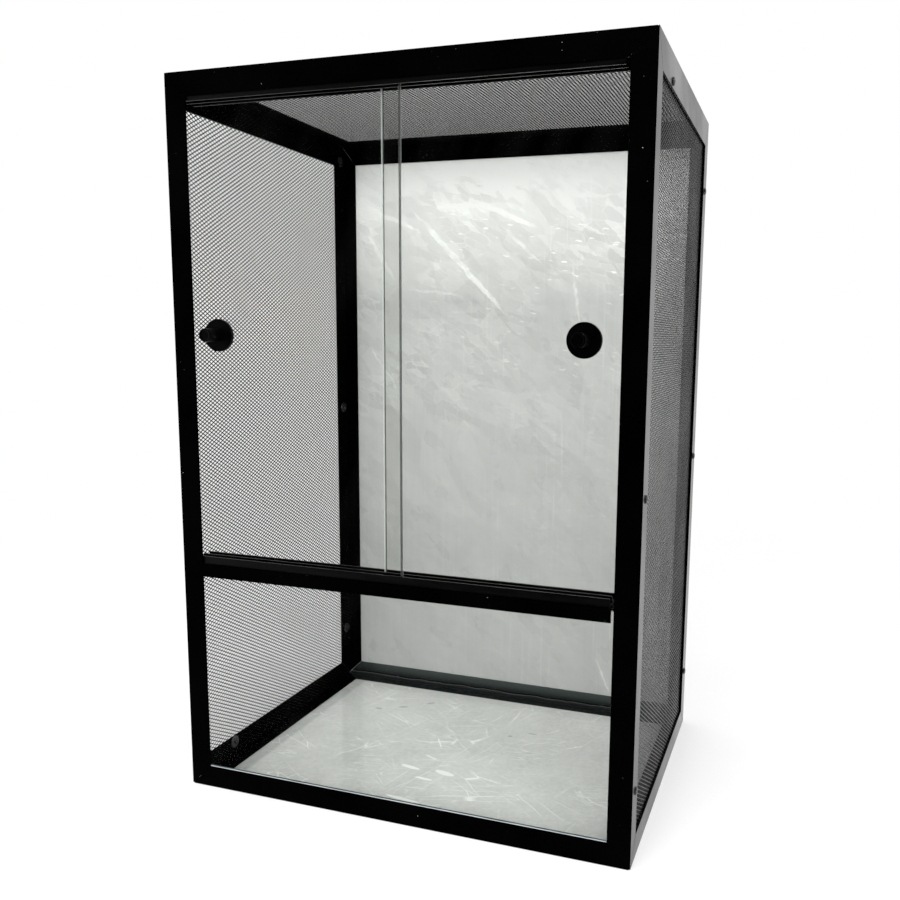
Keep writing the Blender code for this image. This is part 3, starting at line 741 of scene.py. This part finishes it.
def film_finish():
    """A pale sheet under creased film, with painted light: lightest along its top, and painted highlights
    along its creases.
    """
    finish, tree, shader, place = new_finish("creased_film")
    bent = wavering(tree, place, 60, 5, 0.65, (WAVER, 0, WAVER))
    cores_and_highlights, painted_halos = long_creases(tree, place, bent)
    across = height_of(tree, place, "X")
    high_up = height_of(tree, place)
    upper = span(tree, high_up, 0.22, 0.50, 0.12, 1.0)
    top_zone = span(tree, high_up, 0.47, 0.56)
    patch = noise(tree, place, 13, 3)

    # Facet cells, each with its own painted grey of light and shade: large ones all over, small ones where
    # the film is crumpled
    big, big_rim, _ = crisp_cells(tree, bent, (0.060, 1, 0.024), 46)
    small, small_rim, _ = crisp_cells(tree, bent, (0.020, 1, 0.0075), 28)
    crumpled = math_node(tree, "MULTIPLY", span(tree, patch, 0.40, 0.62), upper)
    # Painted highlights along the borders of the big and small cells
    painted_ridges = math_node(tree, "MULTIPLY", span(tree, big_rim, 0.0, 0.02, 1, 0), crumpled)
    folds_and_highlights = math_node(tree, "MULTIPLY", span(tree, small_rim, 0.0, 0.07, 1, 0), crumpled)

    # Short flat bright ticks, of which only some cells get one
    chosen, _, from_middle = crisp_cells(tree, bent, (0.013, 1, 0.0030), 6)
    tick = span(tree, from_middle, 0.20, 0.34, 1, 0)
    tick = math_node(tree, "MULTIPLY", tick, span(tree, chosen, 0.72, 0.78))
    to_right = span(tree, across, -0.12, 0.06, 0.15, 1.0)
    most_above = span(tree, high_up, 0.34, 0.50, 0.1, 1.0)
    patchy = math_node(tree, "MULTIPLY", span(tree, patch, 0.40, 0.54), most_above)
    bright_ticks = math_node(tree, "MULTIPLY", math_node(tree, "MULTIPLY", tick, to_right), patchy)

    uprights = noise(tree, stretched(tree, place, (0.0022, 1, 0.12)), 1.0, 2)
    lines = math_node(tree, "MULTIPLY", span(tree, uprights, 0.66, 0.72), to_right)
    clouds = noise(tree, stretched(tree, place, (0.05, 1, 0.03), (0, math.radians(48), 0)), 1.0, 5)
    broad = noise(tree, place, 5, 2)

    # Painted light: the pale sheet is lightest along its top, darkest low down, and a little lighter to the
    # right
    level = span(tree, high_up, 0.15, 0.45, 0.08, 0.18)
    level = math_node(tree, "ADD", level, span(tree, high_up, 0.44, 0.57, 0.0, 0.78))
    level = math_node(tree, "ADD", level, span(tree, across, -0.05, 0.17, 0.0, 0.06))
    small_share = layered(tree, 0.01, (crumpled, 0.20), (top_zone, 0.10))
    level = layered(tree, level, (span(tree, small, 0.45, 1.0, -0.1, 0.8), small_share))
    calm_below = span(tree, high_up, 0.25, 0.48, 0.4, 1.0)
    painted_facet_light = math_node(tree, "MULTIPLY", centred(tree, big), calm_below)
    mottled = math_node(tree, "MULTIPLY", centred(tree, clouds), calm_below)
    level = layered(tree, level, (painted_facet_light, 0.11), (mottled, 0.15))
    level = layered(tree, level, (centred(tree, uprights), 0.06), (centred(tree, broad), 0.08))
    # Painted highlights along the creases and their fold lines
    level = layered(tree, level, (cores_and_highlights, 0.42), (painted_halos, 0.11), (painted_ridges, 0.08), (folds_and_highlights, 0.11))
    level = layered(tree, level, (bright_ticks, 0.70), (lines, 0.08))
    tree.links.new(tint(tree, level, *FILM_GREYS), shader.inputs["Base Color"])
    tree.links.new(span(tree, clouds, 0.3, 0.7, 0.24, 0.36), shader.inputs["Roughness"])
    shader.inputs["Specular IOR Level"].default_value = 0.4
    bulge = layered(tree, math_node(tree, "MULTIPLY", folds_and_highlights, 0.3), (cores_and_highlights, 0.8), (clouds, 0.5))
    relief(tree, shader, bulge, 0.0006, 0.6)
    return finish


low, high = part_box("back_panel")
back_sheet = block("filmed_back_sheet", low, high)
round_edges(back_sheet, 0.0003)
fit_out(back_sheet, film_finish(), "filmed_sheet", "case", "back_panel")
print("creases:", len(CREASES))

# %% [markdown]
# ## Floor sheet
# The floor is a pale board under a glossy film. It mirrors the posts a little, and it has the
# marks of use: hairline scratches in all directions, a few bright flakes towards the front and
# small dark spots. Thin scratches are the borders of large, stretched Voronoi cells.

# %% Scratched film
# X and Y, turn in degrees, half length and half width in metres
FLAKES = (
    (-0.0247, -0.0413, -8, 0.012, 0.0032),
    (0.0101, -0.0420, -14, 0.013, 0.0040),
    (-0.0038, -0.0578, -4, 0.011, 0.0024),
    (-0.0074, -0.0970, -6, 0.020, 0.0026),
    (-0.0161, 0.0169, 20, 0.016, 0.0012),
    (-0.0176, 0.0136, -60, 0.012, 0.0010),
)
SPOTS = (
    (-0.1140, 0.0684, 0, 0.005, 0.0025),
    (-0.0903, 0.0815, 30, 0.006, 0.0025),
    (-0.0664, 0.1014, 40, 0.006, 0.0020),
    (0.0627, 0.0659, 0, 0.006, 0.0018),
    (0.0417, 0.0522, 20, 0.003, 0.0022),
)
# Turn in degrees, length and width of the cells
SCRATCHES = ((18, 0.12, 0.012), (-35, 0.10, 0.016), (71, 0.14, 0.018), (4, 0.08, 0.009))
FLOOR_WAVER = (0.006, 0.006, 0)
FLOOR_GREYS = ((0.0, (0.335, 0.345, 0.335)), (0.5, (0.625, 0.638, 0.622)), (1.0, (0.94, 0.955, 0.94)))


def marks(tree, place, level_z, spots):
    """The sum of soft round or long spots on the floor."""
    total = 0.0
    for x, y, turn, length, width in spots:
        spot = soft_spot(tree, place, (length, width, 1), (0, 0, math.radians(turn)), (x, y, level_z))
        total = math_node(tree, "ADD", span(tree, spot, 0.08, 0.3), total)
    return total


def hairlines(tree, place, bent):
    """The sum of the scratches in all directions, each family shown in patches."""
    scratched = 0.0
    for turn, length, width in SCRATCHES:
        cells = add_node(
            tree,
            "ShaderNodeTexVoronoi",
            {"feature": "DISTANCE_TO_EDGE"},
            {"Scale": 1.0},
            {"Vector": stretched(tree, bent, (length, width, 1), (0, 0, math.radians(turn)))},
        )
        line = span(tree, cells.outputs["Distance"], 0.0, 0.02, 1, 0)
        # Each family's patches get a turn of their own, here the same number in radians
        patches = noise(tree, stretched(tree, place, (0.06, 0.06, 1), (0, 0, turn)), 1, 2)
        scratched = layered(tree, scratched, (line, span(tree, patches, 0.5, 0.66)))
    return scratched


def floor_finish():
    """A pale board under scratched film, with painted shade along its left edge."""
    finish, tree, shader, place = new_finish("scratched_film")
    level_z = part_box("floor_panel")[1].z
    bent = wavering(tree, place, 30, 2, 0.5, FLOOR_WAVER)
    scratched = hairlines(tree, place, bent)
    clouds = noise(tree, place, 34, 5)
    broad = noise(tree, place, 7, 3)
    flakes = marks(tree, bent, level_z, FLAKES)
    spots = marks(tree, bent, level_z, SPOTS)
    left_x, front_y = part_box("floor_panel")[0].xy
    from_left = math_node(tree, "SUBTRACT", height_of(tree, place, "X"), left_x)
    # Painted shade: a dark strip along the floor's left edge
    painted_shade_strip = span(tree, from_left, 0.011, 0.015, 1, 0)
    backwards = span(tree, height_of(tree, place, "Y"), front_y, front_y + 0.2, 0.0, 0.10)
    level = math_node(tree, "ADD", span(tree, broad, 0.3, 0.7, 0.30, 0.46), backwards)
    fine = centred(tree, noise(tree, place, 260, 3))
    level = layered(tree, level, (fine, 0.30), (clouds, 0.26), (scratched, 0.50))
    level = layered(tree, level, (flakes, 0.5), (spots, -0.35), (painted_shade_strip, -0.26))
    tree.links.new(tint(tree, level, *FLOOR_GREYS), shader.inputs["Base Color"])
    tree.links.new(span(tree, clouds, 0.3, 0.7, 0.02, 0.05), shader.inputs["Roughness"])
    shader.inputs["Specular IOR Level"].default_value = 0.5
    relief(tree, shader, layered(tree, clouds, (scratched, 0.5)), 0.00001, 0.5)
    return finish


low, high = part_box("floor_panel")
floor_sheet = block("filmed_floor_sheet", low, high)
round_edges(floor_sheet, 0.0004)
fit_out(floor_sheet, floor_finish(), "floor_sheet", "case", "floor_panel")
print("flakes and spots:", len(FLAKES), len(SPOTS))

# %% [markdown]
# ## Door tracks
# The doors stand in an extruded plastic track with two channels, and hang into a deeper one
# above. An extrusion shows fine lines along its length, so the finish stretches a Noise along
# X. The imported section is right, and only its sharp corners are eased.

# %% Extruded tracks
def extruded_plastic():
    """Black plastic with fine lines along X."""
    finish, tree, shader, place = new_finish("track_plastic_black")
    lines = noise(tree, stretched(tree, place, (0.3, 0.0006, 0.0006)), 1, 3)
    rubbed = noise(tree, stretched(tree, place, (0.03, 0.004, 0.004)), 1, 4)
    tree.links.new(tint(tree, rubbed, (0.4, 0.0002), (0.8, 0.0012)), shader.inputs["Base Color"])
    tree.links.new(span(tree, lines, 0.3, 0.7, 0.28, 0.42), shader.inputs["Roughness"])
    specular_tint(shader, 0.02)
    relief(tree, shader, lines, 0.000012)
    return finish


track_black = extruded_plastic()
for node in ("lower_glass_track", "upper_glass_track"):
    track = merged_copy(f"{node}_extrusion", node)
    round_edges(track, 0.00025)
    fit_out(track, track_black, "track_plastic", "case", node)
print("tracks: 2")

# %% [markdown]
# ## Door knobs
# Each door has a moulded black knob stuck to its glass: a flat round base with a short stem to
# hold. A cylinder makes the base. Its front is inset to the stem's width and extruded, and the
# stem's tip gets a shallow dish. Rounded edges give the thin highlights of a moulding.

# %% Mould a knob
BASE_DEPTH = 0.0035
STEM_RADIUS = 0.0055
DISH_RIM = 0.0012
DISH_DEPTH = 0.0004


def moulded_plastic():
    """Black plastic with a fine grain, a little smoother where it is touched."""
    finish, tree, shader, place = new_finish("knob_plastic_black")
    grain = noise(tree, place, 1400, 2)
    touched = noise(tree, place, 120, 3)
    tree.links.new(tint(tree, touched, (0.3, 0.0001), (0.75, 0.0006)), shader.inputs["Base Color"])
    tree.links.new(span(tree, touched, 0.3, 0.7, 0.34, 0.46), shader.inputs["Roughness"])
    specular_tint(shader, 0.008, level=0.12)
    relief(tree, shader, grain, 0.00004)
    return finish


def mould_knob(name, node):
    """A knob of the node's size, with its base against the pane and its stem to the front."""
    low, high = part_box(node)
    middle = (low + high) / 2
    radius = (high.x - low.x) / 2
    bpy.ops.object.select_all(action="DESELECT")
    bpy.ops.mesh.primitive_cylinder_add(
        vertices=64,
        radius=radius,
        depth=BASE_DEPTH,
        location=(middle.x, high.y - BASE_DEPTH / 2, middle.z),
        rotation=(math.pi / 2, 0, 0),
    )
    knob = named(name)
    open_faces(knob, lambda centre, normal: normal.y < -0.9)
    bpy.ops.mesh.inset(thickness=radius - STEM_RADIUS)
    stem = high.y - BASE_DEPTH - low.y
    bpy.ops.mesh.extrude_region_move(TRANSFORM_OT_translate={"value": (0, -stem, 0)})
    bpy.ops.mesh.inset(thickness=DISH_RIM)
    bpy.ops.mesh.inset(thickness=DISH_DEPTH)
    bpy.ops.transform.translate(value=(0, DISH_DEPTH, 0))
    bpy.ops.object.mode_set(mode="OBJECT")
    round_edges(knob, 0.0005, segments=3)
    return knob


knob_black = moulded_plastic()
for side in sides:
    knob = mould_knob(f"{side}_knob_moulding", f"{side}_knob")
    fit_out(knob, knob_black, "knob_plastic", f"{side}_door", f"{side}_knob")
print("knobs: 2")

# %% [markdown]
# ## Rivets and washers
# Blind rivets hold the mesh to the bars, with a zinc washer under each inner end. A blind
# rivet has a low dome with the hole of its broken pin in the middle. One rivet and one washer
# are modelled at the origin, and each place gets its own copy.

# %% Model one rivet and one washer
HEAD_RADIUS = 0.0033
HEAD_HEIGHT = 0.0012
DOME_STEPS = (0.88, 0.72)
DOME_TOP_RIM = HEAD_RADIUS * 0.33
PIN_HOLE_DEPTH = HEAD_HEIGHT * 0.8
SHANK_RADIUS = 0.0016
TAIL_LENGTH = 0.0018
WASHER_RADIUS = 0.0055
WASHER_WALL = 0.001
WASHER_PLAY = 0.0003


def push(distance, scale=1.0):
    """Extrudes the selected face along X and changes its size."""
    bpy.ops.mesh.extrude_region_move(TRANSFORM_OT_translate={"value": (distance, 0, 0)})
    bpy.ops.transform.resize(value=(1, scale, scale))


def model_rivet(length):
    """A rivet along X with the foot of its head at 0 and the head towards +X."""
    bpy.ops.object.select_all(action="DESELECT")
    bpy.ops.mesh.primitive_cylinder_add(
        vertices=24,
        radius=HEAD_RADIUS,
        depth=HEAD_HEIGHT / 3,
        location=(HEAD_HEIGHT / 6, 0, 0),
        rotation=(0, math.pi / 2, 0),
    )
    rivet = named("rivet_model")
    open_faces(rivet, lambda centre, normal: normal.x > 0.9)
    for narrower in DOME_STEPS:
        push(HEAD_HEIGHT / 3, narrower)
    bpy.ops.mesh.inset(thickness=DOME_TOP_RIM)
    push(-PIN_HOLE_DEPTH)
    bpy.ops.object.mode_set(mode="OBJECT")
    open_faces(rivet, lambda centre, normal: normal.x < -0.9)
    bpy.ops.mesh.inset(thickness=HEAD_RADIUS - SHANK_RADIUS)
    push(-(length - HEAD_HEIGHT - TAIL_LENGTH))
    push(-TAIL_LENGTH * 0.4, 1.4)
    push(-TAIL_LENGTH * 0.6, 0.8)
    bpy.ops.object.mode_set(mode="OBJECT")
    round_edges(rivet, 0.00012)
    return rivet


def model_washer():
    """A flat ring about the X axis."""
    bpy.ops.object.select_all(action="DESELECT")
    bpy.ops.mesh.primitive_circle_add(vertices=32, radius=WASHER_RADIUS, rotation=(0, math.pi / 2, 0))
    washer = named("washer_model")
    bpy.ops.object.mode_set(mode="EDIT")
    bpy.ops.mesh.select_all(action="SELECT")
    bpy.ops.mesh.extrude_edges_move()
    inner = (SHANK_RADIUS + WASHER_PLAY) / WASHER_RADIUS
    bpy.ops.transform.resize(value=(1, inner, inner))
    bpy.ops.object.mode_set(mode="OBJECT")
    wall = washer.modifiers.new("wall", "SOLIDIFY")
    wall.thickness = WASHER_WALL
    wall.offset = 0
    bpy.ops.object.modifier_apply(modifier=wall.name)
    bpy.ops.object.mode_set(mode="EDIT")
    bpy.ops.mesh.select_all(action="SELECT")
    bpy.ops.mesh.normals_make_consistent(inside=False)
    bpy.ops.object.mode_set(mode="OBJECT")
    round_edges(washer, 0.00015)
    return washer


sample_low, sample_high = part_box("right_rivet_front_middle")
rivet_model = model_rivet(sample_high.x - sample_low.x)
washer_model = model_washer()
print("rivet faces:", len(rivet_model.data.polygons), "washer faces:", len(washer_model.data.polygons))

# %% [markdown]
# ## Finishes of the fasteners
# The rivets are black, with bright metal in small spots where the paint has gone. The washers
# are plain zinc: a metal with a soft, blotchy bloom.

# %% Paint and zinc
def rivet_paint():
    """Black paint with chips of bright metal."""
    finish, tree, shader, place = new_finish("rivet_paint")
    chips = span(tree, noise(tree, place, 700, 3), 0.62, 0.68)
    tree.links.new(tint(tree, chips, (0.0, 0.006), (1.0, 0.30)), shader.inputs["Base Color"])
    tree.links.new(span(tree, chips, 0, 1, 0, 0.8), shader.inputs["Metallic"])
    shader.inputs["Roughness"].default_value = 0.32
    relief(tree, shader, noise(tree, place, 1500, 2), 0.00003)
    return finish


def zinc_finish():
    """Zinc with a blotchy bloom."""
    finish, tree, shader, place = new_finish("zinc_bloom")
    bloom = noise(tree, place, 420, 4)
    colour = tint(tree, bloom, (0.35, (0.03, 0.03, 0.031)), (0.75, (0.24, 0.245, 0.25)))
    tree.links.new(colour, shader.inputs["Base Color"])
    tree.links.new(span(tree, bloom, 0.3, 0.7, 0.25, 0.45), shader.inputs["Roughness"])
    shader.inputs["Metallic"].default_value = 0.9
    relief(tree, shader, bloom, 0.00003)
    return finish


rivet_black = rivet_paint()
zinc = zinc_finish()
print("fastener finishes ready")

# %% [markdown]
# ## Set the fasteners
# A packed rivet's box gives its middle height and depth, and the side of the case gives the
# place of its head. On the left, a half turn about Z points the head outwards.

# %% Copy them to their places
PLACES = [node.split("_rivet_") for node in sorted(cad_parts) if "_rivet_" in node]


def set_copy(model, name, turn, where):
    """A copy of the model with its own mesh, turned about Z and moved to its place."""
    copy = bpy.data.objects.new(name, model.data.copy())
    bpy.context.scene.collection.objects.link(copy)
    copy.data.transform(Matrix.Translation(where) @ Matrix.Rotation(turn, 4, "Z"))
    return copy


for side, label in PLACES:
    sign = 1 if side == "right" else -1
    turn = 0 if sign > 0 else math.pi
    low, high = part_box(f"{side}_rivet_{label}")
    middle = (low + high) / 2
    head_foot = (high.x if sign > 0 else -low.x) - HEAD_HEIGHT
    rivet = set_copy(rivet_model, f"{side}_blind_rivet_{label}", turn, (sign * head_foot, middle.y, middle.z))
    fit_out(rivet, rivet_black, "black_rivet", "case", f"{side}_rivet_{label}")
    low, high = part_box(f"{side}_washer_{label}")
    washer = set_copy(washer_model, f"{side}_zinc_washer_{label}", turn, (low + high) / 2)
    fit_out(washer, zinc, "zinc_washer", "case", f"{side}_washer_{label}")
for model in (rivet_model, washer_model):
    bpy.data.objects.remove(model, do_unlink=True)
print("fasteners:", 2 * len(PLACES))

# %% [markdown]
# ## Ground
# The part stands on a plain pale ground. The ground is white to the camera, and a part of its
# light comes from the lamps, so that the object's soft shadow stays on it. Further out it turns
# into the plain white of the surround, so that no horizon shows.

# %% Pale ground
GROUND_SIZE = 24
GROUND_Z = -0.0004
GROUND_REACH = 1.4
GROUND_GLOW = 0.36
bpy.ops.object.select_all(action="DESELECT")
bpy.ops.mesh.primitive_plane_add(size=GROUND_SIZE, location=(0, 0, GROUND_Z))
ground = named("pale_ground")


def ground_finish():
    """Pale and lit near the part, and plain white further out."""
    finish, tree, shader, place = new_finish("pale_ground")
    colour = tint(tree, noise(tree, place, 3, 2), (0.3, 0.52), (0.7, 0.54))
    tree.links.new(colour, shader.inputs["Base Color"])
    shader.inputs["Roughness"].default_value = 0.9
    shader.inputs["Specular IOR Level"].default_value = 0.0
    rays = add_node(tree, "ShaderNodeLightPath")
    seen = math_node(tree, "MAXIMUM", rays.outputs["Is Camera Ray"], rays.outputs["Is Glossy Ray"])
    seen = math_node(tree, "MAXIMUM", seen, rays.outputs["Is Transmission Ray"])
    strength = math_node(tree, "MULTIPLY", seen, GROUND_GLOW)
    glow = add_node(tree, "ShaderNodeEmission", values={"Color": WHITE}, links={"Strength": strength})
    lit = add_node(tree, "ShaderNodeAddShader", links={0: shader.outputs[0], 1: glow.outputs[0]})
    near = soft_spot(tree, place, (GROUND_REACH, GROUND_REACH, 1), (0, 0, 0), (0, 0, 0))
    far_white = add_node(tree, "ShaderNodeEmission", values={"Color": WHITE, "Strength": 1.0})
    whole = mixed_shader(tree, span(tree, near, 0.1, 0.6), far_white.outputs[0], lit.outputs[0])
    tree.links.new(whole, tree.nodes["Material Output"].inputs["Surface"])
    return finish


ground.data.materials.append(ground_finish())
print("ground ready")

# %% [markdown]
# ## Light
# Soft, plain studio light: an even white surround, large lamps from the front right and the
# front, and a weaker one from the left. The surround is also the background, and at a strength
# of 1 it is seen as plain white. The lamps aren't mirrored in the coated bars, because the
# photograph shows no lamp in them.

# %% Surround and lamps
world = bpy.data.worlds.new("pale_surround")
bpy.context.scene.world = world
world.use_nodes = True
surround = world.node_tree.nodes["Background"]
surround.inputs["Color"].default_value = WHITE
surround.inputs["Strength"].default_value = 1.0
# Each lamp's place, the point it is turned to, and its watts
LAMPS = {
    "right_lamp": ((1.3, -2.0, 1.1), (0, 0, 0.3), 50),
    "left_lamp": ((-2.0, -1.2, 1.6), (0, 0, 0.3), 15),
    "front_lamp": ((-0.2, -2.3, 0.9), (0, 0.1, 0.45), 45),
}
LAMP_SIZE = 1.4


def add_lamp(name, place, target, watts):
    """A large square lamp that no glossy surface mirrors."""
    lamp = bpy.data.lights.new(name, "AREA")
    lamp.shape = "SQUARE"
    lamp.size = LAMP_SIZE
    lamp.energy = watts
    holder = bpy.data.objects.new(name, lamp)
    bpy.context.scene.collection.objects.link(holder)
    holder.location = place
    holder.rotation_euler = (Vector(target) - Vector(place)).to_track_quat("-Z", "Y").to_euler()
    holder.visible_glossy = False


for name, (place, target, watts) in LAMPS.items():
    add_lamp(name, place, target, watts)
bpy.context.scene.view_settings.view_transform = "Standard"
print("lamps:", len(LAMPS))

# %% [markdown]
# ## Camera
# The camera stands a little to the right of the case and looks slightly down. Its place, turn,
# focal length and shift were solved from the corners, windows and knobs in the photograph. The
# first three vectors are its right, down and forward directions. Focal length and optical
# centre are in pixels of a picture that is 900 pixels wide and high.

# %% Camera of the photograph
RIGHT = Vector((0.947707, 0.318863, 0.013359))
DOWN = Vector((0.059245, -0.134643, -0.989122))
FORWARD = Vector((-0.313595, 0.938189, -0.146493))
CAMERA_PLACE = Vector((0.31115, -0.76516, 0.40215))
PICTURE_SIDE = 900
FOCAL_LENGTH = 892.54
OPTICAL_CENTRE = (512.97, 470.32)
SENSOR_WIDTH = 36
lens = bpy.data.cameras.new("photo_camera")
lens.sensor_width = SENSOR_WIDTH
lens.lens = FOCAL_LENGTH / PICTURE_SIDE * SENSOR_WIDTH
lens.shift_x = (PICTURE_SIDE / 2 - OPTICAL_CENTRE[0]) / PICTURE_SIDE
lens.shift_y = (OPTICAL_CENTRE[1] - PICTURE_SIDE / 2) / PICTURE_SIDE
lens.clip_start = 0.01
camera = bpy.data.objects.new("photo_camera", lens)
bpy.context.scene.collection.objects.link(camera)
turn = Matrix((RIGHT, -DOWN, -FORWARD)).transposed().to_4x4()
camera.matrix_world = Matrix.Translation(CAMERA_PLACE) @ turn
bpy.context.scene.camera = camera
print("camera at", [round(c, 3) for c in CAMERA_PLACE])

# %% [markdown]
# ## Finish
# The dressed model must fill the same box as the imported one. The last call brings the view layer up to
# date.

# %% Update the scene
bpy.context.view_layer.update()
